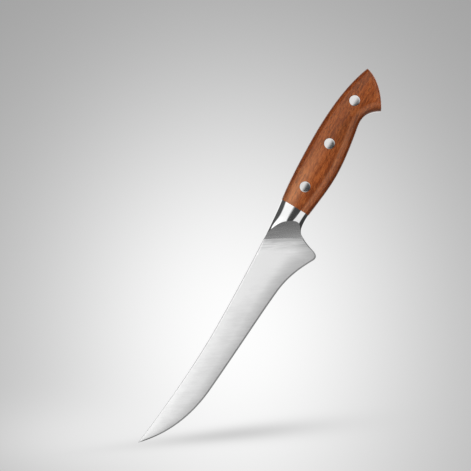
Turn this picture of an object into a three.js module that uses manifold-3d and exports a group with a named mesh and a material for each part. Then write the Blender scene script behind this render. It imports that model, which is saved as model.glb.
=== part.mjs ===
// A curved boning knife: a one-piece forging (blade, bolster and full tang), two wooden
// scales and three two-piece compression rivets.
//
// Millimetres. The knife stands on its tip: +Z runs from the tip to the butt, +X points
// towards the cutting edge, and the two flat sides face +Y and -Y.

import * as THREE from 'three';
import { mergeVertices } from 'three/addons/utils/BufferGeometryUtils.js';
import Module from 'manifold-3d';

const wasm = await Module();
wasm.setup();

// ---------------------------------------------------------------- driving dimensions

// stations along the knife
const BOLSTER_REAR = 201.1;
const HANDLE_END = 312.4;
const BLOCK_FRONT = 166;
const HEEL_FRONT = 174;
const BLADE_ROOT = 190;
const BUTT_TRIM = 0.4;

// thicknesses, each measured from the middle plane to one side
const HANDLE_HALF = 9;
const TANG_HALF = 1.5;
const SPINE_HALF_AT_HEEL = 1.3;
const SPINE_HALF_AT_TIP = 0.4;
const SHOULDER_HALF = 0.2;
const BEVEL_WIDTH = 1;
const POINT_HALF = 0.05;

// where the blade runs on into the bolster: how far its edge is set in, and how wide its grind stays
const ROOT_INSET = 0.05;
const LEAST_GRIND_SHARE = 0.6;

// the handle's crowned section: a flat land, then a fall to the outline
const LAND = 0.24;
const CROWN_POWER = 2.4;
const HALF_SECTION = [
  -1, -0.985, -0.94, -0.87, -0.76, -0.6, -0.42, -LAND,
  LAND, 0.42, 0.6, 0.76, 0.87, 0.94, 0.985, 1,
];

// the ramp ground from the bolster down to the blade
const RAMP_LINE_ANGLE = THREE.MathUtils.degToRad(55);
const RAMP_LINE_POINT = { x: 13, z: 177.6 };
const RAMP_START_ANGLE = THREE.MathUtils.degToRad(20);
const RAMP_END_ANGLE = THREE.MathUtils.degToRad(60);
const RAMP_START_HALF = 1;
const RAMP_RADIUS = 34;
const RAMP_STEPS = 10;

// compression rivets
const RIVETS = [
  { name: 'front', x: 7, z: 217 },
  { name: 'middle', x: 6, z: 252 },
  { name: 'rear', x: 5.5, z: 287.2 },
];
const HEAD_RADIUS = 3.8;
const HEAD_SEAT = 6.5;
const SLEEVE_RADIUS = 2.5;
const SLEEVE_BORE = 1.85;
const PIN_RADIUS = 1.65;
const SLEEVE_REACH = 5.5;
const PIN_REACH = 5.2;
const HOLE_GAP = 0.15;
const ROUND_SEGMENTS = 32;

// sizes that only have to pass well beyond the knife
const WHEEL_REACH = 40;
const REACH = 60;

// ---------------------------------------------------------------- materials

const steel = new THREE.MeshStandardMaterial({ color: 0xc9cbcc, roughness: 0.35, metalness: 1 });
const rivetSteel = new THREE.MeshStandardMaterial({ color: 0xdad9d5, roughness: 0.2, metalness: 1 });
const wood = new THREE.MeshStandardMaterial({ color: 0x8f593f, roughness: 0.45, metalness: 0 });

// ---------------------------------------------------------------- outline

// Each side of the outline is a chain of cubic curves drawn in (z, x), from the tip to the butt.
function outlineSide(start, curves) {
  const path = new THREE.Path();
  path.moveTo(...start);
  for (const points of curves) {
    path.bezierCurveTo(...points);
  }
  return path;
}

const spineSide = outlineSide([0, -0.4], [
  [22, 1.9, 52, 4.8, 88, 4.9],
  [101.6, 5, 171, 2.7, BOLSTER_REAR, -2.4],
  [216.3, -5, 244.4, -6.2, 256, -6.3],
  [274.9, -6.3, 295.3, -4.9, HANDLE_END, 1.4],
]);

const edgeSide = outlineSide([0, -0.4], [
  [6.3, 5.3, 24.3, 22.1, 60, 24.2],
  [100.6, 26.7, 119.8, 27.1, 140, 28.6],
  [147.4, 29.1, 158.3, 29.9, 175.4, 39.2],
  [177.4, 40.3, 179.5, 40.3, 181, 37],
  [183, 30.3, 185.5, 20.9, 192, 20.3],
  [194, 19.8, 198, 19.7, BOLSTER_REAR, 19.9],
  [211.3, 20.8, 221.8, 22.3, 232, 22.4],
  [243.8, 22.6, 259.7, 19.9, 272, 17.4],
  [279.5, 15.8, 285.2, 16.6, 291, 25.6],
  [297, 22.9, 309.6, 13.5, HANDLE_END, 1.7],
]);

// The outline's x at any station z.
function along(path) {
  const points = path.getPoints(60);
  return (z) => {
    const after = Math.max(1, points.findIndex((p) => p.x >= z));
    const a = points[after - 1];
    const b = points[after];
    return THREE.MathUtils.mapLinear(z, a.x, b.x, a.y, b.y);
  };
}

const spineX = along(spineSide);
const edgeX = along(edgeSide);

// ---------------------------------------------------------------- solids

// A closed solid through rings of points, each ring convex and all of the same length.
function loft(rings) {
  const size = rings[0].length;
  const positions = rings.flat(2);
  const index = [];
  for (let r = 0; r < rings.length - 1; r += 1) {
    for (let i = 0; i < size; i += 1) {
      const a = r * size + i;
      const b = r * size + (i + 1) % size;
      index.push(a, b, a + size, b, b + size, a + size);
    }
  }
  const last = (rings.length - 1) * size;
  for (let i = 1; i < size - 1; i += 1) {
    index.push(0, i + 1, i);
    index.push(last, last + i, last + i + 1);
  }
  const geometry = new THREE.BufferGeometry();
  geometry.setAttribute('position', new THREE.Float32BufferAttribute(positions, 3));
  geometry.setIndex(index);
  return geometry;
}

// A closed geometry as a manifold solid.
function solid(geometry) {
  geometry.deleteAttribute('normal');
  geometry.deleteAttribute('uv');
  const merged = mergeVertices(geometry, 1e-4);
  const corners = merged.index.array;
  const faces = [];
  for (let i = 0; i < corners.length; i += 3) {
    const [a, b, c] = corners.slice(i, i + 3);
    if (a !== b && b !== c && c !== a) {
      faces.push(a, b, c);
    }
  }
  const mesh = new wasm.Mesh({
    numProp: 3,
    vertProperties: new Float32Array(merged.attributes.position.array),
    triVerts: new Uint32Array(faces),
  });
  return new wasm.Manifold(mesh);
}

function named(name, body, material) {
  const { vertProperties, triVerts } = body.getMesh();
  const geometry = new THREE.BufferGeometry();
  geometry.setAttribute('position', new THREE.BufferAttribute(vertProperties, 3));
  geometry.setIndex(new THREE.BufferAttribute(triVerts, 1));
  geometry.computeVertexNormals();
  const mesh = new THREE.Mesh(geometry, material);
  mesh.name = name;
  return mesh;
}

// A box from its lowest to its highest corner.
function block(low, high) {
  const size = high.map((value, i) => value - low[i]);
  const centre = high.map((value, i) => (value + low[i]) / 2);
  return solid(new THREE.BoxGeometry(...size).translate(...centre));
}

// A turned solid with its axis along Y, placed on a rivet's axis.
function turned(profile, rivet) {
  const points = profile.map(([radius, y]) => new THREE.Vector2(radius, y));
  const geometry = new THREE.LatheGeometry(points, ROUND_SEGMENTS);
  return solid(geometry.translate(rivet.x, 0, rivet.z));
}

function steps(from, to, count) {
  return Array.from({ length: count }, (_, i) => from + (to - from) * i / count);
}

// ---------------------------------------------------------------- blade

// The grind is flat from the spine to the bevel's shoulder, and the spine thins towards the tip.
function bladeRing(z) {
  const spine = spineX(z);
  const edge = edgeX(z) - ROOT_INSET;
  const grindEnd = edgeX(Math.min(z, HEEL_FRONT)) - BEVEL_WIDTH;
  const atSpine = THREE.MathUtils.mapLinear(z, 0, HEEL_FRONT, SPINE_HALF_AT_TIP, SPINE_HALF_AT_HEEL);
  const shoulder = Math.max(Math.min(grindEnd, edge), spine + (edge - spine) * LEAST_GRIND_SHARE);
  const fall = (shoulder - spine) / Math.max(grindEnd - spine, shoulder - spine);
  const atShoulder = THREE.MathUtils.lerp(atSpine, SHOULDER_HALF, fall);
  return [
    [spine, -atSpine, z],
    [shoulder, -atShoulder, z],
    [edge, 0, z],
    [shoulder, atShoulder, z],
    [spine, atSpine, z],
  ];
}

function pointRing() {
  const x = spineX(0);
  return [
    [x - POINT_HALF, -POINT_HALF, 0],
    [x, -POINT_HALF, 0],
    [x + POINT_HALF, 0, 0],
    [x, POINT_HALF, 0],
    [x - POINT_HALF, POINT_HALF, 0],
  ];
}

function makeBlade() {
  const stations = [
    ...steps(1.5, 60, 16),
    ...steps(60, 140, 10),
    ...steps(140, HEEL_FRONT, 8),
    ...steps(HEEL_FRONT, BLADE_ROOT, 16),
    BLADE_ROOT,
  ];
  return solid(loft([pointRing(), ...stations.map(bladeRing)]));
}

// ---------------------------------------------------------------- handle and bolster block

// How far the crowned surface stands from the middle plane, across the width from -1 to 1.
function crownHeight(across) {
  const fall = Math.max(0, (Math.abs(across) - LAND) / (1 - LAND));
  return TANG_HALF + (HANDLE_HALF - TANG_HALF) * (1 - fall ** CROWN_POWER) ** (1 / CROWN_POWER);
}

function handleRing(z) {
  const low = spineX(z);
  const high = edgeX(z);
  const place = (across, side) => {
    const x = THREE.MathUtils.mapLinear(across, -1, 1, low, high);
    return [x, side * crownHeight(across), z];
  };
  const front = HALF_SECTION.map((across) => place(across, -1));
  const back = HALF_SECTION.map((across) => place(across, 1)).reverse();
  return [...front, ...back];
}

// The crowned outside of bolster and handle together, as if they were one solid.
function makeEnvelope() {
  const stations = [
    ...steps(BLOCK_FRONT, HEEL_FRONT, 4),
    ...steps(HEEL_FRONT, BLADE_ROOT, 16),
    ...steps(BLADE_ROOT, BOLSTER_REAR, 4),
    ...steps(BOLSTER_REAR, 272, 12),
    ...steps(272, 291, 13),
    ...steps(291, HANDLE_END - BUTT_TRIM, 12),
    HANDLE_END - BUTT_TRIM,
  ];
  return solid(loft(stations.map(handleRing)));
}

// What the grinding wheel takes off one side of the block, down to the blade.
function rampCut(side) {
  const wheelD = -RAMP_RADIUS * Math.sin(RAMP_START_ANGLE);
  const wheelY = RAMP_START_HALF + RAMP_RADIUS * Math.cos(RAMP_START_ANGLE);
  const startD = -RAMP_START_HALF / Math.tan(RAMP_START_ANGLE);
  const endD = wheelD + RAMP_RADIUS * Math.sin(RAMP_END_ANGLE);
  const shape = new THREE.Shape();
  shape.moveTo(-WHEEL_REACH, 0);
  shape.lineTo(startD, 0);
  for (let i = 0; i <= RAMP_STEPS; i += 1) {
    const angle = THREE.MathUtils.lerp(RAMP_START_ANGLE, RAMP_END_ANGLE, i / RAMP_STEPS);
    shape.lineTo(wheelD + RAMP_RADIUS * Math.sin(angle), side * (wheelY - RAMP_RADIUS * Math.cos(angle)));
  }
  shape.lineTo(endD, side * WHEEL_REACH);
  shape.lineTo(-WHEEL_REACH, side * WHEEL_REACH);
  const geometry = new THREE.ExtrudeGeometry(shape, { depth: 2 * WHEEL_REACH, bevelEnabled: false });
  geometry.translate(0, 0, -WHEEL_REACH);
  geometry.rotateY(RAMP_LINE_ANGLE - Math.PI);
  geometry.translate(RAMP_LINE_POINT.x, 0, RAMP_LINE_POINT.z);
  return solid(geometry);
}

const envelope = makeEnvelope();

function makeBolster() {
  const front = envelope.intersect(block([-REACH, -REACH, 0], [REACH, REACH, BOLSTER_REAR]));
  return front.subtract(rampCut(1)).subtract(rampCut(-1));
}

function makeTang() {
  const insideBolster = BOLSTER_REAR - 2;
  return envelope.intersect(block([-REACH, -TANG_HALF, insideBolster], [REACH, TANG_HALF, HANDLE_END]));
}

// ---------------------------------------------------------------- rivets and their holes

function shankHole(rivet) {
  const radius = SLEEVE_RADIUS + HOLE_GAP;
  return turned([[0, -REACH], [radius, -REACH], [radius, REACH], [0, REACH]], rivet);
}

// The seat for a rivet head, open to the outside of the scale on one side (1 or -1).
function headSeat(rivet, side) {
  const radius = HEAD_RADIUS + HOLE_GAP;
  const ends = [side * (HEAD_SEAT - HOLE_GAP), side * REACH].sort((a, b) => a - b);
  return turned([[0, ends[0]], [radius, ends[0]], [radius, ends[1]], [0, ends[1]]], rivet);
}

// The tubular half, with its head on the -Y side. The head is ground to the scale's crown.
function makeSleeve(rivet) {
  const profile = [
    [0, -2 * HANDLE_HALF],
    [HEAD_RADIUS, -2 * HANDLE_HALF],
    [HEAD_RADIUS, -HEAD_SEAT],
    [SLEEVE_RADIUS, -HEAD_SEAT],
    [SLEEVE_RADIUS, SLEEVE_REACH],
    [SLEEVE_BORE, SLEEVE_REACH],
    [SLEEVE_BORE, -SLEEVE_REACH],
    [0, -SLEEVE_REACH],
  ];
  return turned(profile, rivet).intersect(envelope);
}

// The solid half, driven into the sleeve from the +Y side.
function makePin(rivet) {
  const profile = [
    [0, -PIN_REACH],
    [PIN_RADIUS, -PIN_REACH],
    [PIN_RADIUS, HEAD_SEAT],
    [HEAD_RADIUS, HEAD_SEAT],
    [HEAD_RADIUS, 2 * HANDLE_HALF],
    [0, 2 * HANDLE_HALF],
  ];
  return turned(profile, rivet).intersect(envelope);
}

// ---------------------------------------------------------------- pieces

function makeForging() {
  let forging = makeBlade().add(makeBolster()).add(makeTang());
  for (const rivet of RIVETS) {
    forging = forging.subtract(shankHole(rivet));
  }
  return forging;
}

function makeScale(side) {
  const ends = [side * TANG_HALF, side * REACH].sort((a, b) => a - b);
  let scale = envelope.intersect(block([-REACH, ends[0], BOLSTER_REAR], [REACH, ends[1], HANDLE_END]));
  for (const rivet of RIVETS) {
    scale = scale.subtract(shankHole(rivet)).subtract(headSeat(rivet, side));
  }
  return scale;
}

const knife = new THREE.Group();
knife.add(named('blade_with_bolster_and_tang', makeForging(), steel));
knife.add(named('left_scale', makeScale(-1), wood));
knife.add(named('right_scale', makeScale(1), wood));
for (const rivet of RIVETS) {
  knife.add(named(`${rivet.name}_rivet_sleeve`, makeSleeve(rivet), rivetSteel));
  knife.add(named(`${rivet.name}_rivet_pin`, makePin(rivet), rivetSteel));
}

// The origin is under the middle of the knife, level with its tip.
const box = new THREE.Box3().setFromObject(knife);
const centre = box.getCenter(new THREE.Vector3());
knife.position.set(-centre.x, -centre.y, -box.min.z);
knife.updateMatrixWorld(true);

export default knife;
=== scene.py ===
"""Boning knife: the fine meshes, materials, light and camera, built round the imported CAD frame.

Lengths are in millimetres while a shape is worked out, and turned into metres as its mesh is made.
The knife's own axes: z from the tip to the butt, x from the spine towards the cutting edge, and y out
of the two flat sides.
"""
import math

import bmesh
import bpy
import numpy as np
from mathutils import Matrix, Vector


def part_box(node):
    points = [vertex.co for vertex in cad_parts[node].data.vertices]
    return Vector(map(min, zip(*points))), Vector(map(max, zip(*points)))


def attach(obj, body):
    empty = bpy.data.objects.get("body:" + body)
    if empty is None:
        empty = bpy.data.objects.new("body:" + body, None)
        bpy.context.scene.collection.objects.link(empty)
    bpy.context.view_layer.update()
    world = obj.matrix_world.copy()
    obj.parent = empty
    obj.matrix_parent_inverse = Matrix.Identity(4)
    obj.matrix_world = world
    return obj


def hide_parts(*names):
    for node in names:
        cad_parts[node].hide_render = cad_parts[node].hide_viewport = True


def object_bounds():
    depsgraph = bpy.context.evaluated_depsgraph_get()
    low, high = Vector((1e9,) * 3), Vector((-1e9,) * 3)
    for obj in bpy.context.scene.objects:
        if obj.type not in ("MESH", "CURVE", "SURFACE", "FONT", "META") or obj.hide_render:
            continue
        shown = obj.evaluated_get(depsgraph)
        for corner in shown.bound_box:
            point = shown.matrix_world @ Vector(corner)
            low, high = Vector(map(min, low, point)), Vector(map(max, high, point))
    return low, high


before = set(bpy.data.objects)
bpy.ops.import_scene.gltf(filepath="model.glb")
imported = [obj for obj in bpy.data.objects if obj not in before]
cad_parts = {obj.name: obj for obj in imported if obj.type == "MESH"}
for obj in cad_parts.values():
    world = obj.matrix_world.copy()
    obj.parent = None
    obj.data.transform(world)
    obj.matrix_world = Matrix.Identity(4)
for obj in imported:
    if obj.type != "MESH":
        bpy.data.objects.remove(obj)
CAD_LOW, CAD_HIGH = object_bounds()

MM = 0.001
FORGING = "blade_with_bolster_and_tang"
LEFT, RIGHT = -1, 1

# ------------------------------------------------------------------ sizes taken from the frame

scale_low, scale_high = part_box("left_scale")
BOLSTER_REAR = scale_low[2] / MM
HANDLE_END = scale_high[2] / MM
HANDLE_HALF = -scale_low[1] / MM
TANG_HALF = -scale_high[1] / MM

# ------------------------------------------------------------------ sizes of the fine surfaces

SPINE_HALF_AT_HEEL = 1.3
SPINE_HALF_AT_TIP = 0.4
TAPER_LIMIT = 1.2
SHOULDER_HALF = 0.22
GRIND_BULGE = 0.16
BULGE_FULL_Z = 60
BLADE_ROOT = 191.0
HEEL_FRONT = 174.0
HEEL_END = 179.5
BLOCK_FRONT = 160.0
# The fine meshes end just short of the butt's last point, where the outline has almost no width.
BUTT_END = HANDLE_END - 0.1

# The crown: its line and radius, and how wide and deep each side is rounded, as (bolster, handle).
CROWN_TOP = HANDLE_HALF - 0.08
CROWN_LINE = (10.4, 11.0)
CROWN_RADIUS = (50.0, 80.0)
SPINE_ROUNDING = ((9.0, 6.1), (8.0, 5.1))
BELLY_ROUNDING = ((7.5, 6.3), (7.5, 5.6))
HANDLE_BLEND = (196, 216)
# Towards the blade the bolster falls away beside the spine and the belly, and its corners tighten.
FOOT_Z, CREST_Z = 180.0, 198.0
CREST_MARGIN, CREST_SOFTNESS = 3, 2
SPINE_FOOT = {"rounding": (1.7, 2.1), "fall": 0.19, "width": 8.5}
BELLY_FOOT = {"rounding": (5.2, 4.0), "fall": 0.235, "width": 9.8}
BUTT_ROUNDING = (3.0, 4.0)
HOOK_Z = 291.0

# The ramp is cut by a wheel that meets the blade along a slanting line.
RAMP_LINE_ANGLE = math.radians(55)
RAMP_LINE_X, RAMP_LINE_Z = 13.0, 177.6
RAMP_START_ANGLE, RAMP_END_ANGLE = math.radians(20), math.pi / 3
RAMP_START_HALF = 1.0
RAMP_RADIUS = 34.0

CURVE_STEPS = 80
TINY = 1e-12
# Each side of the outline: a chain of cubic curves drawn in (z, x), from the tip to the butt.
SPINE_SIDE = [(0, -0.4), [
    (22, 1.9, 52, 4.8, 88, 4.9),
    (101.6, 5, 171, 2.7, BOLSTER_REAR, -2.4),
    (216.3, -5, 244.4, -6.2, 256, -6.3),
    (274.9, -6.3, 295.3, -4.9, HANDLE_END, 1.5),
]]
EDGE_SIDE = [(0, -0.4), [
    (6.3, 5.3, 24.3, 22.1, 60, 24.2),
    (100.6, 26.7, 119.8, 27.1, 140, 28.6),
    (147.4, 29.1, 158.3, 29.9, 175.4, 39.2),
    (177.4, 40.3, 179.5, 40.3, 181, 37),
    (183, 30.3, 185.5, 20.9, 192, 20.3),
    (194, 19.8, 198, 19.7, BOLSTER_REAR, 19.9),
    (211.3, 20.8, 221.8, 22.3, 232, 22.4),
    (243.8, 22.6, 259.7, 19.9, 272, 17.4),
    (279.5, 15.8, 285.2, 16.6, HOOK_Z, 25.6),
    (297, 22.9, 309.6, 13.5, HANDLE_END, 1.6),
]]


# ------------------------------------------------------------------ outline

def cubic(p0, p1, p2, p3, t):
    return (1 - t) ** 3 * p0 + 3 * (1 - t) ** 2 * t * p1 + 3 * (1 - t) * t ** 2 * p2 + t ** 3 * p3


def chain(side):
    """The points of one side of the outline, as an array of (z, x)."""
    start, curves = side
    points = [np.array([start], float)]
    t = np.linspace(0, 1, CURVE_STEPS + 1)[1:, None]
    for curve in curves:
        points.append(cubic(points[-1][-1], *np.array(curve, float).reshape(3, 2), t))
    return np.vstack(points)


SPINE = chain(SPINE_SIDE)
EDGE = chain(EDGE_SIDE)
# The frame's x is the knife's x less this shift; the edge never passes the CAD box.
SHIFT = SPINE[:, 1].min() - CAD_LOW[0] / MM
EDGE[:, 1] = np.minimum(EDGE[:, 1], CAD_HIGH[0] / MM + SHIFT)


def spine_x(z):
    return np.interp(z, SPINE[:, 0], SPINE[:, 1])


def edge_x(z):
    return np.interp(z, EDGE[:, 0], EDGE[:, 1])


def sides_at(z):
    """The x of the spine's side and of the edge's side at one station."""
    return float(spine_x(z)), float(edge_x(z))


def distance_to(line, z, x):
    """How far each point (z, x) is from a polyline, never less than zero."""
    best = np.full(z.shape, np.inf)
    for (az, ax), (dz, dx) in zip(line[:-1], line[1:] - line[:-1]):
        length2 = max(dz ** 2 + dx ** 2, TINY)
        t = np.clip(((z - az) * dz + (x - ax) * dx) / length2, 0, 1)
        best = np.minimum(best, np.hypot(z - az - t * dz, x - ax - t * dx))
    return best


def smooth(low, high, value):
    """A smooth step from 0 to 1 as the value runs from low to high."""
    t = np.clip((value - low) / (high - low), 0, 1)
    return t * t * (3 - 2 * t)


# ------------------------------------------------------------------ heights above the middle plane

OUTLINE_FROM = BLOCK_FRONT - 5
HANDLE_SPINE = SPINE[SPINE[:, 0] > OUTLINE_FROM]
BELLY = EDGE[(EDGE[:, 0] > OUTLINE_FROM) & (EDGE[:, 0] <= HOOK_Z)]
BUTT = EDGE[EDGE[:, 0] >= HOOK_Z]


def rounding_drop(distance, width, depth):
    """How far an elliptical rounding has fallen below the crown, near an outline."""
    share = 1 - np.clip(distance / width, 0, 1)
    return depth * (1 - np.sqrt(1 - share ** 2))


def side_drop(z, distance, on_handle, rounding, foot):
    """The fall below the crown beside the spine or the belly, by distance from that outline."""
    at_foot = 1 - smooth(FOOT_Z, CREST_Z + CREST_MARGIN, z)
    width, depth = (
        (bolster + (handle - bolster) * on_handle) * (1 - at_foot) + tight * at_foot
        for bolster, handle, tight in zip(*rounding, foot["rounding"])
    )
    fall = foot["fall"] * CREST_SOFTNESS * np.log1p(np.exp((CREST_Z - z) / CREST_SOFTNESS))
    return rounding_drop(distance, width, depth) + fall * (1 - smooth(0, foot["width"], distance))


def crown_height(z, x):
    """The handle's and bolster's outer surface: a shallow crown with broadly rounded sides."""
    on_handle = smooth(*HANDLE_BLEND, z)
    line = CROWN_LINE[0] + (CROWN_LINE[1] - CROWN_LINE[0]) * on_handle
    radius = CROWN_RADIUS[0] + (CROWN_RADIUS[1] - CROWN_RADIUS[0]) * on_handle
    drops = [
        side_drop(z, distance_to(HANDLE_SPINE, z, x), on_handle, SPINE_ROUNDING, SPINE_FOOT),
        side_drop(z, distance_to(BELLY, z, x), on_handle, BELLY_ROUNDING, BELLY_FOOT),
        rounding_drop(distance_to(BUTT, z, x), *BUTT_ROUNDING),
    ]
    return CROWN_TOP - (x - line) ** 2 / (2 * radius) - sum(drop ** 4 for drop in drops) ** 0.25


def blade_half(z, across):
    """Half the blade's thickness, across from 0 at the spine to 1 at the bevel's shoulder."""
    thickening = np.clip(z / HEEL_FRONT, 0, TAPER_LIMIT)
    at_spine = SPINE_HALF_AT_TIP + (SPINE_HALF_AT_HEEL - SPINE_HALF_AT_TIP) * thickening
    bulge = GRIND_BULGE * smooth(0, BULGE_FULL_Z, z)
    return at_spine + (SHOULDER_HALF - at_spine) * across + bulge * 4 * across * (1 - across)


def ramp_distance(z, x):
    """How far a point lies behind the ramp's front line, towards the butt."""
    return (z - RAMP_LINE_Z) * math.sin(RAMP_LINE_ANGLE) - (x - RAMP_LINE_X) * math.cos(RAMP_LINE_ANGLE)


def ramp_point(d, y, w):
    """The knife point at d behind the ramp's front line, y out of the sides and w along the line."""
    x = RAMP_LINE_X - d * math.cos(RAMP_LINE_ANGLE) + w * math.sin(RAMP_LINE_ANGLE)
    z = RAMP_LINE_Z + d * math.sin(RAMP_LINE_ANGLE) + w * math.cos(RAMP_LINE_ANGLE)
    return x, y, z


# ------------------------------------------------------------------ mesh helpers

MERGE_DISTANCE = 1e-6
SHORTEST_EDGE = 1e-7


def to_row(points):
    """Knife points (x, y, z) in millimetres as row points in metres."""
    return [((x - SHIFT) * MM, y * MM, z * MM) for x, y, z in points]


def loft(rings):
    """Points and faces through closed rings of one length: row by row, then the two end caps."""
    rows, columns = len(rings), len(rings[0])
    points = [tuple(p) for ring in rings for p in ring]
    faces = []
    for start in range(0, (rows - 1) * columns, columns):
        for c in range(columns):
            here, after = start + c, start + (c + 1) % columns
            faces.append((here, after, after + columns, here + columns))
    last = (rows - 1) * columns
    faces.append(tuple(range(columns))[::-1])
    faces.append(tuple(range(last, last + columns)))
    return points, faces


def both_sides(section, z):
    """A closed ring at one station: a section of (x, height) on the left, and its mirror image."""
    near = [(x, -h, z) for x, h in section]
    far = [(x, h, z) for x, h in section[1:-1]]
    return near + far[::-1]


def new_object(name, rings, materials, kinds=0):
    """A lofted object. The kinds are one material index for all faces, or a list with one for each."""
    points, faces = loft(rings)
    mesh = bpy.data.meshes.new(name)
    mesh.from_pydata(to_row(points), [], faces)
    for material in materials:
        mesh.materials.append(material)
    mesh.polygons.foreach_set("material_index", np.broadcast_to(kinds, len(faces)).tolist())
    obj = bpy.data.objects.new(name, mesh)
    bpy.context.scene.collection.objects.link(obj)
    face_outwards(mesh)
    return obj


def face_outwards(mesh):
    bm = bmesh.new()
    bm.from_mesh(mesh)
    bmesh.ops.remove_doubles(bm, verts=bm.verts, dist=MERGE_DISTANCE)
    bmesh.ops.dissolve_degenerate(bm, edges=bm.edges, dist=SHORTEST_EDGE)
    bmesh.ops.recalc_face_normals(bm, faces=bm.faces)
    bm.to_mesh(mesh)
    bm.free()


def combine(obj, other, operation):
    """Joins or cuts obj with other, which is used up."""
    modifier = obj.modifiers.new("combine", "BOOLEAN")
    modifier.operation = operation
    modifier.solver = "EXACT"
    modifier.material_mode = "INDEX"
    modifier.object = other
    bpy.context.view_layer.update()
    made = bpy.data.meshes.new_from_object(obj.evaluated_get(bpy.context.evaluated_depsgraph_get()))
    obj.modifiers.clear()
    obj.data = made
    bpy.data.objects.remove(other)


def smooth_shade(obj, sharp_degrees):
    mesh = obj.data
    mesh.shade_smooth()
    mesh.set_sharp_from_angle(angle=math.radians(sharp_degrees))


def point_values(obj, name, values):
    attribute = obj.data.attributes.new(name, "FLOAT", "POINT")
    attribute.data.foreach_set("value", np.asarray(values, np.float32))


def knife_points(obj):
    """An object's vertices in knife millimetres, as arrays x, y, z."""
    flat = np.empty(len(obj.data.vertices) * 3)
    obj.data.vertices.foreach_get("co", flat)
    x, y, z = flat.reshape(-1, 3).T / MM
    return x + SHIFT, y, z


# ------------------------------------------------------------------ node helpers

class Nodes:
    """A small wrapper that makes nodes and links them in one call."""

    def __init__(self, tree):
        self.tree = tree
        tree.nodes.clear()

    def add(self, kind, *values, **settings):
        """A node with these settings, and with its first inputs set or linked in their order."""
        node = self.tree.nodes.new(kind)
        for key, value in settings.items():
            setattr(node, key, value)
        for socket, value in zip(node.inputs, values):
            self.put(socket, value)
        return node

    def put(self, socket, value):
        if isinstance(value, bpy.types.NodeSocket):
            self.tree.links.new(value, socket)
        else:
            socket.default_value = value

    def math(self, operation, a, b=0.0):
        return self.add("ShaderNodeMath", a, b, operation=operation).outputs[0]

    def plus(self, first, *others):
        """A sum, added up from left to right."""
        for other in others:
            first = self.math("ADD", first, other)
        return first

    def minus(self, a, b):
        return self.math("SUBTRACT", a, b)

    def times(self, a, b):
        return self.math("MULTIPLY", a, b)

    def reach(self, place, direction):
        """How far a place lies in a direction."""
        node = self.add("ShaderNodeVectorMath", place, direction, operation="DOT_PRODUCT")
        return node.outputs["Value"]

    def ramp(self, value, stops):
        """A colour from a list of stops, each (place, (red, green, blue))."""
        node = self.add("ShaderNodeValToRGB", value)
        elements = node.color_ramp.elements
        while len(elements) < len(stops):
            elements.new(0.5)
        for element, (place, colour) in zip(elements, stops):
            element.position = place
            element.color = (*colour, 1)
        return node.outputs["Color"]

    def between(self, value, low, high, new_low=0.0, new_high=1.0):
        """A smooth step from new_low to new_high as the value runs from low to high."""
        ends = (low, high, new_low, new_high)
        return self.add("ShaderNodeMapRange", value, *ends, interpolation_type="SMOOTHSTEP").outputs[0]

    def swing(self, value, low, high, amount):
        """A smooth step from -amount to amount as the value runs from low to high."""
        return self.times(self.between(value, low, high, -1, 1), amount)

    def noise(self, place, detail, rough, distortion=0.0):
        node = self.add("ShaderNodeTexNoise")
        self.put(node.inputs["Vector"], place)
        node.inputs["Scale"].default_value = 1.0
        node.inputs["Detail"].default_value = detail
        node.inputs["Roughness"].default_value = rough
        node.inputs["Distortion"].default_value = distortion
        return node.outputs["Fac"]

    def place(self, stretch, turn=(0, 0, 0), shift=(0, 0, 0)):
        """Object coordinates in millimetres, turned, then stretched and shifted."""
        turned = self.add("ShaderNodeMapping", self.add("ShaderNodeTexCoord").outputs["Object"])
        turned.inputs["Rotation"].default_value = turn
        turned.inputs["Scale"].default_value = (1 / MM,) * 3
        sized = self.add("ShaderNodeMapping", turned.outputs[0])
        sized.inputs["Location"].default_value = shift
        sized.inputs["Scale"].default_value = stretch
        return sized.outputs[0]

    def value(self, name):
        """A mesh's own point values, by name."""
        return self.add("ShaderNodeAttribute", attribute_name=name).outputs["Fac"]

    def grey(self, tone):
        return self.add("ShaderNodeCombineColor", tone, tone, tone).outputs[0]

    def mix(self, factor, a, b, blend="MIX"):
        node = self.add("ShaderNodeMix", data_type="RGBA", blend_type=blend)
        self.put(node.inputs[0], factor)
        self.put(node.inputs[6], a)
        self.put(node.inputs[7], b)
        return node.outputs[2]

    def bump(self, height, strength, distance_mm, under=None):
        node = self.add("ShaderNodeBump")
        self.put(node.inputs["Height"], height)
        node.inputs["Strength"].default_value = strength
        node.inputs["Distance"].default_value = distance_mm * MM
        if under is not None:
            self.put(node.inputs["Normal"], under)
        return node.outputs["Normal"]


def new_material(name, metallic):
    """A material with a Principled shader, as (material, nodes, shader)."""
    material = bpy.data.materials.new(name)
    material.use_nodes = True
    nodes = Nodes(material.node_tree)
    shader = nodes.add("ShaderNodeBsdfPrincipled")
    shader.inputs["Metallic"].default_value = metallic
    nodes.add("ShaderNodeOutputMaterial", shader.outputs[0])
    return material, nodes, shader


# ------------------------------------------------------------------ materials

# A turn about Y that lays the texture's X across the ramp's front line.
ALONG_RAMP = (0, math.pi / 2 - RAMP_LINE_ANGLE, 0)

# The satin's painted shade from the spine (0) to the edge (1): light at the spine, darker towards the
# edge, standing in for the falling reflection.
SATIN_PAINTED_SHADE = ((0.0, 1.0), (0.15, 0.98), (0.35, 0.9), (0.62, 0.84), (0.8, 0.71), (1.0, 0.55))
SATIN_ROUGHNESS = 0.36
RAMP_TONE = 0.56
BEVEL_TONE, BEVEL_ROUGHNESS = 0.24, 0.3
GROUND_TONE = 0.66
BOLSTER_TONE, BOLSTER_ROUGHNESS = 0.88, 0.045
RIVET_TONE, RIVET_ROUGHNESS, RIVET_WARMTH = 0.7, 0.09, 0.015
SMEAR_TONE, HAIR_ROUGHNESS = 0.95, 0.06

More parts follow.
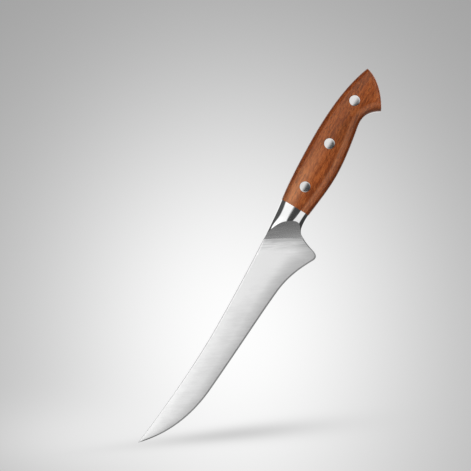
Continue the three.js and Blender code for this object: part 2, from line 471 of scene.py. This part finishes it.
BROAD_BANDS = [
    (0.28, (0.18, 0.029, 0.005)),
    (0.45, (0.29, 0.054, 0.010)),
    (0.58, (0.39, 0.084, 0.018)),
    (0.75, (0.25, 0.044, 0.007)),
]
LIGHT_FIBRE, DARK_FIBRE = (0.46, 0.125, 0.028, 1), (0.11, 0.016, 0.003, 1)
LIGHT_CURL, DARK_CURL = (0.50, 0.145, 0.036, 1), (0.13, 0.020, 0.004, 1)
LIGHT_FIGURE, PORE = (0.46, 0.135, 0.036, 1), (0.080, 0.014, 0.004, 1)
# The tint of the painted highlight, added to the wood, and the tint of the painted shade, multiplied into
# it.
PAINTED_HIGHLIGHT_TINT, PAINTED_SHADE_TINT = (0.23, 0.13, 0.07, 1), (0.46, 0.40, 0.36, 1)
GRAIN_WANDER = 9.0
WOOD_ROUGHNESS = 0.24
WOOD_GLOSS = {
    "Specular Tint": (1.0, 0.64, 0.3, 1),
    "Specular IOR Level": 0.5,
    "Coat Weight": 0.36,
    "Coat IOR": 1.5,
    "Coat Roughness": 0.12,
}


def blade_tone(nodes, fine, strokes, near_ramp):
    """How much lighter or darker than its plain tone the satin is, as a factor round 1."""
    across, along, to_ramp = nodes.value("across"), nodes.value("along"), nodes.value("to_ramp")
    cloud = nodes.noise(nodes.place((0.08, 0.2, 0.22), ALONG_RAMP), 4, 0.6)
    marks = nodes.plus(
        nodes.times(nodes.times(nodes.between(strokes, 0.38, 0.66, -1, 1), near_ramp), 0.11),
        nodes.swing(cloud, 0.3, 0.7, 0.04),
        nodes.swing(fine, 0.3, 0.7, 0.03),
    )
    # two darker bands lie in front of the ramp
    darker_bands = nodes.plus(
        nodes.between(to_ramp, 0.0, 4.0, -0.2, 0.0),
        nodes.between(to_ramp, 4.5, 9.5, -0.23, 0.0),
    )
    near_tip = nodes.times(nodes.between(along, 10, 110, -0.1, 0.0), nodes.between(across, 0.1, 0.9))
    mid_heel = nodes.times(
        nodes.between(along, 112, 150, 0.0, 0.15),
        nodes.between(across, 0.5, 0.85, 1.0, 0.0),
    )
    return nodes.plus(marks, darker_bands, nodes.plus(near_tip, 1.0), mid_heel)


def satin_blade():
    """Fine cross-ground steel, painted darker towards the edge, and duller where the coarser strokes meet
    the ramp.
    """
    material, nodes, shader = new_material("satin_blade", 1)
    fine = nodes.noise(nodes.place((0.06, 1, 3.2), ALONG_RAMP), 4, 0.6)
    strokes = nodes.noise(nodes.place((0.07, 0.6, 1.15), ALONG_RAMP, (3, 0, 7)), 4, 0.65)
    near_ramp = nodes.between(nodes.value("to_ramp"), 2.0, 15.0, 1.0, 0.0)
    # painted shade: the base tone falls from the spine towards the edge
    plain = nodes.ramp(nodes.value("across"), [(place, (tone, tone, tone)) for place, tone in SATIN_PAINTED_SHADE])
    tone = nodes.grey(blade_tone(nodes, fine, strokes, near_ramp))
    nodes.put(shader.inputs["Base Color"], nodes.mix(1.0, plain, tone, "MULTIPLY"))
    rough = nodes.plus(SATIN_ROUGHNESS, nodes.times(nodes.minus(fine, 0.5), 0.1))
    nodes.put(shader.inputs["Roughness"], rough)
    first = nodes.bump(fine, 0.1, 0.008)
    nodes.put(shader.inputs["Normal"], nodes.bump(nodes.times(strokes, near_ramp), 0.3, 0.04, first))
    return material


def satin_ramp():
    """The ramp in front of the bolster: coarser satin, ground along the front line."""
    material, nodes, shader = new_material("satin_ramp", 1)
    lines = nodes.noise(nodes.place((0.05, 0.5, 2.8), ALONG_RAMP), 4, 0.6)
    tone = nodes.plus(RAMP_TONE, nodes.swing(lines, 0.3, 0.7, 0.05))
    nodes.put(shader.inputs["Base Color"], nodes.grey(tone))
    nodes.put(shader.inputs["Roughness"], nodes.between(lines, 0.2, 0.8, 0.2, 0.32))
    nodes.put(shader.inputs["Normal"], nodes.bump(lines, 0.2, 0.015))
    return material


def ground_bevel():
    """The narrow sharpening bevel: darker, with fine cross scratches."""
    material, nodes, shader = new_material("ground_bevel", 1)
    lines = nodes.noise(nodes.place((1, 1, 4)), 3, 0.6)
    tone = nodes.plus(BEVEL_TONE, nodes.times(nodes.minus(lines, 0.5), 0.1))
    nodes.put(shader.inputs["Base Color"], nodes.grey(tone))
    shader.inputs["Roughness"].default_value = BEVEL_ROUGHNESS
    nodes.put(shader.inputs["Normal"], nodes.bump(lines, 0.2, 0.02))
    return material


def ground_edge():
    """The spine, the back of the heel and the tang's edges: lengthwise ground steel."""
    material, nodes, shader = new_material("ground_edge", 1)
    lines = nodes.noise(nodes.place((3, 4, 0.12)), 4, 0.6)
    tone = nodes.plus(GROUND_TONE, nodes.times(nodes.minus(lines, 0.5), 0.2))
    nodes.put(shader.inputs["Base Color"], nodes.grey(tone))
    nodes.put(shader.inputs["Roughness"], nodes.between(lines, 0.2, 0.8, 0.22, 0.4))
    nodes.put(shader.inputs["Normal"], nodes.bump(lines, 0.15, 0.01))
    return material


def warm_grey(tone, warmth):
    return (tone * (1 + warmth), tone, tone * (1 - warmth), 1)


def polished(name, tone, roughness, warmth=0.0):
    """Mirror-polished steel with faint wipe marks."""
    material, nodes, shader = new_material(name, 1)
    smear = nodes.noise(nodes.place((0.25, 0.25, 0.12)), 3, 0.5)
    hair = nodes.noise(nodes.place((0.4, 2, 6), (0, 0.3, 0)), 5, 0.7)
    clean, smeared = warm_grey(tone, warmth), warm_grey(tone * SMEAR_TONE, warmth)
    nodes.put(shader.inputs["Base Color"], nodes.mix(nodes.between(smear, 0.3, 0.7), clean, smeared))
    rough = nodes.between(hair, 0.45, 0.8, roughness, roughness + HAIR_ROUGHNESS)
    nodes.put(shader.inputs["Roughness"], rough)
    nodes.put(shader.inputs["Normal"], nodes.bump(hair, 0.03, 0.01))
    return material


def wandering_grain(nodes):
    """A maker of noises that run along the handle and all wander sideways together."""
    wander = nodes.noise(nodes.place((0.05, 0.05, 0.012)), 2, 0.5)
    bend = nodes.add("ShaderNodeCombineXYZ", nodes.times(wander, GRAIN_WANDER), 0.0, 0.0).outputs[0]

    def grain(stretch, detail, rough, shift=(0, 0, 0)):
        straight = nodes.place(stretch, shift=shift)
        moved = nodes.add("ShaderNodeVectorMath", straight, bend, operation="ADD")
        return nodes.noise(moved.outputs[0], detail, rough)

    return grain


def wood_colour(nodes, broad, fibre, pores):
    """Broad bands, then fibres, a slanting figure, fine curls and pores, then a painted highlight and
    painted shade.
    """
    figure = nodes.noise(nodes.place((0.10, 0.10, 0.16), (0, 0.7, 0)), 3, 0.55, 0.6)
    curl = nodes.noise(nodes.place((0.85, 0.85, 0.22), (0, 0.3, 0), (2, 4, 6)), 3, 0.6, 0.8)
    colour = nodes.ramp(broad, BROAD_BANDS)
    for share, tone in (
        (nodes.between(fibre, 0.5, 0.66, 0.0, 0.55), LIGHT_FIBRE),
        (nodes.between(fibre, 0.36, 0.5, 0.6, 0.0), DARK_FIBRE),
        (nodes.between(figure, 0.5, 0.7, 0.0, 0.3), LIGHT_FIGURE),
        (nodes.between(curl, 0.5, 0.64, 0.0, 0.45), LIGHT_CURL),
        (nodes.between(curl, 0.38, 0.5, 0.45, 0.0), DARK_CURL),
        (nodes.times(pores, 0.8), PORE),
    ):
        colour = nodes.mix(share, colour, tone)
    # painted highlight: a light tint added near the bolster and along the belly's rounding
    colour = nodes.mix(nodes.value("pale"), colour, PAINTED_HIGHLIGHT_TINT, "ADD")
    # painted shade: the wood multiplied darker towards its outlines and in the handle's middle
    return nodes.mix(nodes.value("painted_shade"), colour, PAINTED_SHADE_TINT, "MULTIPLY")


def scale_wood():
    """Oiled reddish-brown hardwood, its grain running along the handle."""
    material, nodes, shader = new_material("scale_wood", 0)
    grain = wandering_grain(nodes)
    broad = grain((0.30, 0.30, 0.016), 3, 0.55)
    fibre = grain((1.0, 1.0, 0.045), 5, 0.68, (5, 2, 1))
    pores = nodes.between(grain((1.5, 1.5, 0.2), 3, 0.6, (1, 8, 3)), 0.58, 0.68)
    nodes.put(shader.inputs["Base Color"], wood_colour(nodes, broad, fibre, pores))
    rough = nodes.plus(WOOD_ROUGHNESS, nodes.times(pores, 0.25), nodes.times(fibre, 0.1))
    nodes.put(shader.inputs["Roughness"], rough)
    for name, value in WOOD_GLOSS.items():
        shader.inputs[name].default_value = value
    first = nodes.bump(fibre, 0.12, 0.04)
    nodes.put(shader.inputs["Normal"], nodes.bump(nodes.minus(1.0, pores), 0.25, 0.04, first))
    return material


SATIN, BEVEL, EDGES, BOLSTER, RAMP = range(5)
STEELS = [
    satin_blade(),
    ground_bevel(),
    ground_edge(),
    polished("polished_bolster", BOLSTER_TONE, BOLSTER_ROUGHNESS),
    satin_ramp(),
]
WOOD = scale_wood()
RIVET_STEEL = polished("polished_rivet", RIVET_TONE, RIVET_ROUGHNESS, RIVET_WARMTH)


# ------------------------------------------------------------------ blade

# The rounded back: its radius, limited by shares of the half thickness and of the width.
SPINE_ROUND = 0.5
ROUND_OF_HALF, ROUND_OF_WIDTH = 0.6, 0.2
BACK_POINT = 0.6
ROUND_ANGLES = (0, 22.5, 45, 67.5, 90)
GRIND_COLUMNS = 24
LEAST_GRIND = 0.7

# The edge: a bevel along the blade, and a narrower rim down the back of the heel.
BEVEL_WIDTH = 1.1
BEVEL_MIDDLE = 0.4
EDGE_HALF = 0.01
HEEL_RIM_WIDTH = 0.7
HEEL_RIM_DEPTH = 0.45
HEEL_INSET = 0.05
HEEL_SPREAD = 0.5
LEAN_STEP, MOST_LEAN = 0.2, 5.0

# How many columns of faces the back and the bevel take on each side of the section.
BACK_FACES = len(ROUND_ANGLES) + 1
BEVEL_FACES = 3


def blade_widths(z):
    """The x of the spine, the bevel's shoulder and the edge, and the width the grind tapers over."""
    spine, edge = sides_at(z)
    grind_end = float(edge_x(min(z, HEEL_FRONT))) - BEVEL_WIDTH
    if z > HEEL_FRONT:
        grind_end += (z - HEEL_FRONT) * HEEL_SPREAD
    rim = BEVEL_WIDTH
    if z > HEEL_END:
        # behind the heel the blade lies just inside the bolster's outline
        edge -= HEEL_INSET
        lean = abs(float(edge_x(z + LEAN_STEP) - edge_x(z - LEAN_STEP))) / (2 * LEAN_STEP)
        rim = HEEL_RIM_WIDTH * math.hypot(1, min(lean, MOST_LEAN))
    shoulder = max(min(grind_end, edge - rim), spine + (edge - spine) * LEAST_GRIND)
    return spine, shoulder, edge, max(grind_end - spine, shoulder - spine)


def blade_section(z):
    """One side of the blade's section from spine to edge, as (x, half thickness) points."""
    spine, shoulder, edge, taper = blade_widths(z)
    half = float(blade_half(z, 0.0))
    corner = min(SPINE_ROUND, half * ROUND_OF_HALF, (edge - spine) * ROUND_OF_WIDTH)
    section = [(spine, 0.0), (spine, (half - corner) * BACK_POINT)]
    for angle in np.radians(ROUND_ANGLES):
        section.append((spine + corner * (1 - math.cos(angle)), half - corner * (1 - math.sin(angle))))
    for share in np.linspace(0, 1, GRIND_COLUMNS + 1)[1:]:
        x = spine + corner + (shoulder - spine - corner) * share
        section.append((x, float(blade_half(z, (x - spine) / taper))))
    at_shoulder = section[-1][1]
    at_edge = max(at_shoulder - HEEL_RIM_DEPTH, 0.0)
    section.append(((shoulder + edge) / 2, at_shoulder + (at_edge - at_shoulder) * BEVEL_MIDDLE))
    section.append((edge, max(at_edge, EDGE_HALF)))
    section.append((edge, 0.0))
    return section


def blade_stations():
    """Stations from the tip to the root, close at the tip and close again round the heel."""
    return np.concatenate([
        [0.05, 0.3, 0.7],
        np.arange(1.2, 12, 0.6),
        np.arange(12, 165, 1.2),
        np.arange(165, BLADE_ROOT, 0.35),
    ])


def blade_kind(column, columns):
    """The steel of one column of the blade's faces, counted from the spine's middle line."""
    from_spine = min(column, columns - 1 - column)
    if from_spine < BACK_FACES:
        return EDGES
    return BEVEL if from_spine >= columns // 2 - BEVEL_FACES else SATIN


def make_blade():
    rings = [both_sides(blade_section(z), z) for z in blade_stations()]
    columns = len(rings[0])
    one_row = [blade_kind(column, columns) for column in range(columns)]
    end_caps = [EDGES, EDGES]
    return new_object("forging", rings, STEELS, one_row * (len(rings) - 1) + end_caps)


# ------------------------------------------------------------------ bolster and scales

CROWN_COLUMNS = 48
LEAST_HEIGHT = 0.02
BUTT_TURN = 270
BOLSTER_STEP, HANDLE_STEP, BUTT_STEP = 0.7, 1.2, 0.5
STATION_GAP = 0.05
TANG_OVERLAP = 2
RAMP_STEPS = 40
RAMP_CLEAR = 40.0


def crowned_stations(first, last):
    """Stations from one end of the crowned handle to the other, close where its outline turns."""
    steps = np.concatenate([
        np.arange(BLOCK_FRONT, BOLSTER_REAR, BOLSTER_STEP),
        np.arange(BOLSTER_REAR, BUTT_TURN, HANDLE_STEP),
        np.arange(BUTT_TURN, BUTT_END, BUTT_STEP),
        [BUTT_END],
    ])
    inside = steps[(steps > first + STATION_GAP) & (steps < last - STATION_GAP)]
    return np.concatenate([[first], inside, [last]])


def crowned_section(z, foot):
    """The outer surface at a station, from the spine's foot to the edge's foot, as (x, height)."""
    low, high = sides_at(z)
    xs = low + (high - low) * (1 - np.cos(np.linspace(0, math.pi, CROWN_COLUMNS))) / 2
    heights = np.maximum(crown_height(np.full(xs.shape, z), xs), foot + LEAST_HEIGHT)
    return [(low, foot)] + list(zip(xs, heights)) + [(high, foot)]


def make_block():
    """Bolster blank: both sides crowned, from inside the blade to the wood."""
    stations = crowned_stations(BLOCK_FRONT, BOLSTER_REAR)
    rings = [both_sides(crowned_section(z, 0.0), z) for z in stations]
    return new_object("block", rings, STEELS, BOLSTER)


def make_ramp_cut(side):
    """The wheel's cut on one side: everything outside the ramp."""
    wheel_d = -RAMP_RADIUS * math.sin(RAMP_START_ANGLE)
    wheel_y = RAMP_START_HALF + RAMP_RADIUS * math.cos(RAMP_START_ANGLE)
    start_d = -RAMP_START_HALF / math.tan(RAMP_START_ANGLE)
    outline = [(-RAMP_CLEAR, 0.0), (start_d, 0.0)]
    for angle in np.linspace(RAMP_START_ANGLE, RAMP_END_ANGLE, RAMP_STEPS):
        outline.append((wheel_d + RAMP_RADIUS * math.sin(angle), wheel_y - RAMP_RADIUS * math.cos(angle)))
    outline += [(outline[-1][0], RAMP_CLEAR), (-RAMP_CLEAR, RAMP_CLEAR)]
    rings = [[ramp_point(d, side * y, w) for d, y in outline] for w in (-RAMP_CLEAR, RAMP_CLEAR)]
    return new_object("ramp_cut", rings, STEELS, RAMP)


def make_tang():
    rings = []
    for z in crowned_stations(BOLSTER_REAR - TANG_OVERLAP, BUTT_END):
        low, high = sides_at(z)
        corners = ((low, -TANG_HALF), (high, -TANG_HALF), (high, TANG_HALF), (low, TANG_HALF))
        rings.append([(x, y, z) for x, y in corners])
    return new_object("tang", rings, STEELS, EDGES)


# ------------------------------------------------------------------ holes and seats

SEAT_GAP = 0.06
SLEEVE_RADIUS = 2.5
HEAD_SEAT = 6.5
ROUND_STEPS = 72
CUT_REACH = 30
# A turned height of CROWN_MARK stands for the crown's surface; heights near it count from there.
CROWN_MARK = 2 * HANDLE_HALF
CROWN_FROM = HANDLE_HALF + 1


def turned(name, x, z, profile, material, on_crown=False):
    """A turned solid about a rivet's axis, from (radius, height). Its head can follow the crown."""
    rings = []
    angles = np.arange(ROUND_STEPS) * 2 * math.pi / ROUND_STEPS
    for radius, y in profile:
        xs = x + radius * np.cos(angles)
        zs = z + radius * np.sin(angles)
        ys = np.full(ROUND_STEPS, float(y))
        if on_crown and abs(y) >= CROWN_FROM:
            ys = np.sign(y) * (crown_height(zs, xs) + abs(y) - CROWN_MARK)
        rings.append(list(zip(xs, ys, zs)))
    return new_object(name, rings, [material])


def shank_hole(x, z):
    radius = SLEEVE_RADIUS + SEAT_GAP
    return turned("hole", x, z, [(radius, -CUT_REACH), (radius, CUT_REACH)], STEELS[EDGES])


def head_seat(x, z, side, radius):
    floor = HEAD_SEAT - SEAT_GAP
    return turned("seat", x, z, [(radius, side * floor), (radius, side * CUT_REACH)], WOOD)


def rivet_places():
    """Each rivet's name, centre (x, z) in knife millimetres and head radius, from the frame."""
    for name in ("front", "middle", "rear"):
        low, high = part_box(f"{name}_rivet_sleeve")
        centre = (low + high) / 2 / MM
        yield name, centre[0] + SHIFT, centre[2], (high[0] - low[0]) / 2 / MM


# ------------------------------------------------------------------ forging and scales

# Faces that meet at a larger angle than this, in degrees, keep a sharp edge between them.
FORGING_SHARP = 13
SHARP = 30

# Soft patches of painted highlight near the bolster and of painted shade in the handle's middle, as the
# middle and reach of x, then of z.
FRONT_HIGHLIGHT = ((2.5, 4.5), (204, 32))
MIDDLE_SHADE = ((10, 6), (266, 18))
# A painted highlight along the belly's rounding: its distance from the outline, reach, strength and end.
HIGHLIGHT_AT, HIGHLIGHT_REACH, HIGHLIGHT_STRENGTH = 5.6, 1.1, 0.4
HIGHLIGHT_END = (262, 285)
# How far in from each outline painted shade darkens the wood, and how strongly.
BELLY_SHADE_REACH, BELLY_SHADE = (0.5, 4.5), 0.95
SPINE_SHADE_REACH, SPINE_SHADE = (0, 2.2), 0.5
MIDDLE_SHADE_STRENGTH = 0.65


def make_forging():
    forging = make_blade()
    block = make_block()
    for side in (LEFT, RIGHT):
        combine(block, make_ramp_cut(side), "DIFFERENCE")
    combine(forging, block, "UNION")
    combine(forging, make_tang(), "UNION")
    for _, x, z, _ in rivet_places():
        combine(forging, shank_hole(x, z), "DIFFERENCE")
    smooth_shade(forging, FORGING_SHARP)
    x, _, z = knife_points(forging)
    width = np.maximum(edge_x(np.minimum(z, HEEL_FRONT)) - spine_x(z), 1)
    point_values(forging, "across", np.clip((x - spine_x(z)) / width, 0, 1))
    point_values(forging, "to_ramp", -ramp_distance(z, x))
    point_values(forging, "along", z)
    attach(forging, "root")
    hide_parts(FORGING)


def soft_patch(x, z, patch):
    (middle_x, reach_x), (middle_z, reach_z) = patch
    return np.exp(-((x - middle_x) / reach_x) ** 2 - ((z - middle_z) / reach_z) ** 2)


def paint_wood_light(scale):
    """Point values for where a highlight is painted on the wood, and where shade is painted on it."""
    x, _, z = knife_points(scale)
    belly = distance_to(BELLY, z, x)
    spine = distance_to(HANDLE_SPINE, z, x)
    # painted highlight along the belly's rounding, fading out towards the butt
    crest = HIGHLIGHT_STRENGTH * np.exp(-((belly - HIGHLIGHT_AT) / HIGHLIGHT_REACH) ** 2)
    crest = crest * (1 - smooth(*HIGHLIGHT_END, z))
    point_values(scale, "pale", np.maximum(soft_patch(x, z, FRONT_HIGHLIGHT), crest))
    # painted shade along the belly and the spine, and in the handle's middle
    by_belly = BELLY_SHADE * (1 - smooth(*BELLY_SHADE_REACH, belly))
    by_spine = SPINE_SHADE * (1 - smooth(*SPINE_SHADE_REACH, spine))
    painted_shade = by_belly + by_spine + MIDDLE_SHADE_STRENGTH * soft_patch(x, z, MIDDLE_SHADE)
    point_values(scale, "painted_shade", np.clip(painted_shade, 0, 1))


def make_scale(name, side):
    rings = []
    for z in crowned_stations(BOLSTER_REAR, BUTT_END):
        rings.append([(x, side * h, z) for x, h in crowned_section(z, TANG_HALF)])
    scale = new_object(f"{name}_wood", rings, [WOOD])
    for _, x, z, head in rivet_places():
        combine(scale, shank_hole(x, z), "DIFFERENCE")
        combine(scale, head_seat(x, z, side, head + SEAT_GAP), "DIFFERENCE")
    smooth_shade(scale, SHARP)
    paint_wood_light(scale)
    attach(scale, "root")
    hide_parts(name)


# ------------------------------------------------------------------ rivets

SLEEVE_BORE, SLEEVE_REACH = 1.85, 5.5
PIN_RADIUS, PIN_REACH = 1.65, 5.2
HEAD_DOME = 0.03
HEAD_SINK = 0.04
RIM_DROP, RIM_ROUND = 0.16, 0.04
HEAD_SHARES = (0.985, 0.95, 0.88, 0.78, 0.66, 0.52, 0.38, 0.24, 0.1)


def head_profile(radius, side):
    """A rivet head from its rim inwards: a rounded rim, then a shallow dome that follows the crown."""
    profile = [(radius, side * HEAD_SEAT), (radius, side * (CROWN_MARK - RIM_DROP))]
    for share in HEAD_SHARES:
        height = CROWN_MARK - HEAD_SINK + HEAD_DOME * (1 - share ** 2) - RIM_ROUND * share ** 12
        profile.append((radius * share, side * height))
    return profile


def make_rivets():
    sleeve = [
        (SLEEVE_BORE, -SLEEVE_REACH),
        (SLEEVE_BORE, SLEEVE_REACH),
        (SLEEVE_RADIUS, SLEEVE_REACH),
        (SLEEVE_RADIUS, -HEAD_SEAT),
    ]
    pin = [(PIN_RADIUS, -PIN_REACH), (PIN_RADIUS, HEAD_SEAT)]
    for name, x, z, head in rivet_places():
        parts = {
            f"{name}_rivet_sleeve": sleeve + head_profile(head, LEFT),
            f"{name}_rivet_pin": pin + head_profile(head, RIGHT),
        }
        for node, profile in parts.items():
            rivet = turned(f"{node}_steel", x, z, profile, RIVET_STEEL, on_crown=True)
            smooth_shade(rivet, SHARP)
            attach(rivet, "root")
            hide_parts(node)


make_forging()
make_scale("left_scale", LEFT)
make_scale("right_scale", RIGHT)
make_rivets()

# ------------------------------------------------------------------ camera

# The knife leans in the picture: its axis rises at this angle from the picture's horizontal.
LEAN = math.radians(58.87)
PICTURE_RIGHT = Vector((math.sin(LEAN), 0, math.cos(LEAN)))
PICTURE_UP = Vector((-math.cos(LEAN), 0, math.sin(LEAN)))
CAMERA_X, CAMERA_Z = -34.0, 162.2
CAMERA_DISTANCE = 0.932
LENS, SENSOR_WIDTH = 100, 36
NEAREST, FARTHEST = 0.01, 100


def make_camera():
    data = bpy.data.cameras.new("camera")
    data.lens = LENS
    data.sensor_width = SENSOR_WIDTH
    data.clip_start = NEAREST
    data.clip_end = FARTHEST
    camera = bpy.data.objects.new("camera", data)
    turn = Matrix((PICTURE_RIGHT, PICTURE_UP, PICTURE_RIGHT.cross(PICTURE_UP))).transposed()
    camera.matrix_world = turn.to_4x4()
    camera.location = (CAMERA_X * MM, -CAMERA_DISTANCE, CAMERA_Z * MM)
    bpy.context.scene.collection.objects.link(camera)
    bpy.context.scene.camera = camera


make_camera()

# ------------------------------------------------------------------ floor and backdrop

DOME_RADIUS = 4.0
DOME_SEGMENTS, DOME_RINGS = 64, 32

# The sweep's light has its place on the dome, from -1 to 1 across and up what the first view covers.
SWEEP_TONE, SWEEP_FALL = 0.384, 0.044
# Each glow: its middle, its width and height, and its strength.
SWEEP_GLOWS = [
    ((0.0, -0.37), (0.856, 1.053), 0.585),
    ((-0.78, -0.84), (0.38, 0.15), 0.106),
]
# Away from straight behind the knife, as the cosine falls through these values, it is evenly pale.
AROUND_FROM, AROUND_TONE = (0.84, 0.96), 0.74
# The soft shadow under the tip rises a little and widens as it runs off to the right.
STREAK_MIDDLE, STREAK_WIDTH, STREAK_RISE = (0.0, -0.83), 0.37, 0.1
STREAK_HEIGHT, STREAK_WIDENING, STREAK_STRENGTH = 0.032, 0.02, 0.27


def spot(nodes, across, up, middle, width, height, rise=0.0):
    """A soft oval spot, 1 at its middle, its long line climbing by rise to the right."""
    dx = nodes.minus(across, middle[0])
    dy = nodes.minus(nodes.minus(up, middle[1]), nodes.times(dx, rise))
    square = nodes.plus(
        nodes.math("POWER", nodes.math("DIVIDE", dx, width), 2.0),
        nodes.math("POWER", nodes.math("DIVIDE", dy, height), 2.0),
    )
    return nodes.math("EXPONENT", nodes.times(square, -1.0))


def sweep_light(nodes):
    """A pale studio sweep: bright behind the knife, darker above and to the sides."""
    place = nodes.add("ShaderNodeTexCoord").outputs["Object"]
    # half the width that the first view covers at the dome's far side
    half = (DOME_RADIUS + CAMERA_DISTANCE) * SENSOR_WIDTH / 2 / LENS
    across = nodes.math("DIVIDE", nodes.reach(place, PICTURE_RIGHT), half)
    up = nodes.math("DIVIDE", nodes.reach(place, PICTURE_UP), half)
    light = nodes.minus(SWEEP_TONE, nodes.times(up, SWEEP_FALL))
    for middle, (width, height), strength in SWEEP_GLOWS:
        light = nodes.plus(light, nodes.times(spot(nodes, across, up, middle, width, height), strength))
    behind = nodes.reach(place, (0, 1 / DOME_RADIUS, 0))
    light = nodes.math("MAXIMUM", light, nodes.between(behind, *AROUND_FROM, AROUND_TONE, 0.0))
    height = nodes.plus(STREAK_HEIGHT, nodes.times(across, STREAK_WIDENING))
    streak = spot(nodes, across, up, STREAK_MIDDLE, STREAK_WIDTH, height, STREAK_RISE)
    return nodes.minus(light, nodes.times(streak, STREAK_STRENGTH))


def dome_material():
    material = bpy.data.materials.new("backdrop")
    material.use_nodes = True
    nodes = Nodes(material.node_tree)
    glow = nodes.add("ShaderNodeEmission", nodes.grey(sweep_light(nodes)))
    nodes.add("ShaderNodeOutputMaterial", glow.outputs[0])
    return material


def only_seen(obj):
    """Shown to the camera, and in no reflection or shadow."""
    obj.visible_diffuse = False
    obj.visible_glossy = False
    obj.visible_transmission = False
    obj.visible_shadow = False


def make_dome():
    """One seamless surface round the knife, which serves as both floor and backdrop."""
    bm = bmesh.new()
    bmesh.ops.create_uvsphere(bm, u_segments=DOME_SEGMENTS, v_segments=DOME_RINGS, radius=DOME_RADIUS)
    mesh = bpy.data.meshes.new("backdrop")
    bm.to_mesh(mesh)
    bm.free()
    mesh.shade_smooth()
    dome = bpy.data.objects.new("backdrop", mesh)
    dome.location = (CAMERA_X * MM, 0, CAMERA_Z * MM)
    mesh.materials.append(dome_material())
    bpy.context.scene.collection.objects.link(dome)
    only_seen(dome)


# ------------------------------------------------------------------ light

# The tent is laid out in degrees: turn is 0 in front of the knife's left side and grows towards its
# edge, and rise runs from -90 below to 90 above.
FLOOR_RISE, FLOOR_TONES = (-62, -38), (0.15, 0.38)
# The walls keep only a share of the floor's tone, and so does all that lies past the spine's side.
WALL_RISE = (-14, -2)
SPINE_WALL_TURN = (-82, -62)
SHARE_TURN, WALL_SHARES = (-30, 30), (0.24, 0.12)
TOP_RISE, TOP_TONE = (55, 85), 0.9
# Each soft box: its strength, its ends in turn and in rise, and its softness in each.
SOFT_BOXES = [
    (1.0, (-71, 0), (-24, 70), 5, 6),
    (0.88, (0, 77), (-24, 60), 5, 6),
    (1.0, (138, 185), (-50, 60), 6, 14),
    (1.0, (-185, -132), (-50, 60), 6, 14),
]
# The dark patch between the front boxes, round the camera.
DARK_PATCH = (0.94, (-4.6, 19), (-3.5, 10), 2.5, 4.5)
DEGREES = 180 / math.pi


def window(nodes, value, low, high, soft):
    """1 between two angles and 0 outside them, with soft sides."""
    opens = nodes.between(value, low - soft, low + soft)
    closes = nodes.between(value, high - soft, high + soft, 1.0, 0.0)
    return nodes.times(opens, closes)


def soft_box(nodes, turn, rise, strength, turns, rises, soft_turn, soft_rise):
    shape = nodes.times(window(nodes, turn, *turns, soft_turn), window(nodes, rise, *rises, soft_rise))
    return nodes.times(shape, strength)


def tent_light(nodes):
    """A soft box on each side of the camera, two behind, a bright top, dim walls and a dim floor."""
    ray = nodes.add("ShaderNodeTexCoord").outputs["Generated"]
    to_edge, to_front, upright = (nodes.reach(ray, axis) for axis in ((1, 0, 0), (0, -1, 0), (0, 0, 1)))
    turn = nodes.times(nodes.math("ARCTAN2", to_edge, to_front), DEGREES)
    rise = nodes.times(nodes.math("ARCSINE", upright), DEGREES)
    light = nodes.between(rise, *FLOOR_RISE, *FLOOR_TONES)
    share = nodes.between(turn, *SHARE_TURN, *WALL_SHARES)
    spine_wall = nodes.between(turn, *SPINE_WALL_TURN, 1.0, 0.0)
    walls = nodes.math("MAXIMUM", nodes.between(rise, *WALL_RISE), spine_wall)
    light = nodes.times(light, nodes.minus(1.0, nodes.times(walls, nodes.minus(1.0, share))))
    for box in SOFT_BOXES:
        light = nodes.plus(light, soft_box(nodes, turn, rise, *box))
    light = nodes.times(light, nodes.minus(1.0, soft_box(nodes, turn, rise, *DARK_PATCH)))
    return nodes.plus(light, nodes.times(nodes.between(rise, *TOP_RISE), TOP_TONE))


def make_light_tent():
    world = bpy.data.worlds.new("light_tent")
    bpy.context.scene.world = world
    world.use_nodes = True
    nodes = Nodes(world.node_tree)
    glow = nodes.add("ShaderNodeBackground", nodes.grey(tent_light(nodes)))
    nodes.add("ShaderNodeOutputWorld", glow.outputs[0])


make_dome()
make_light_tent()
bpy.context.scene.view_settings.view_transform = "Standard"
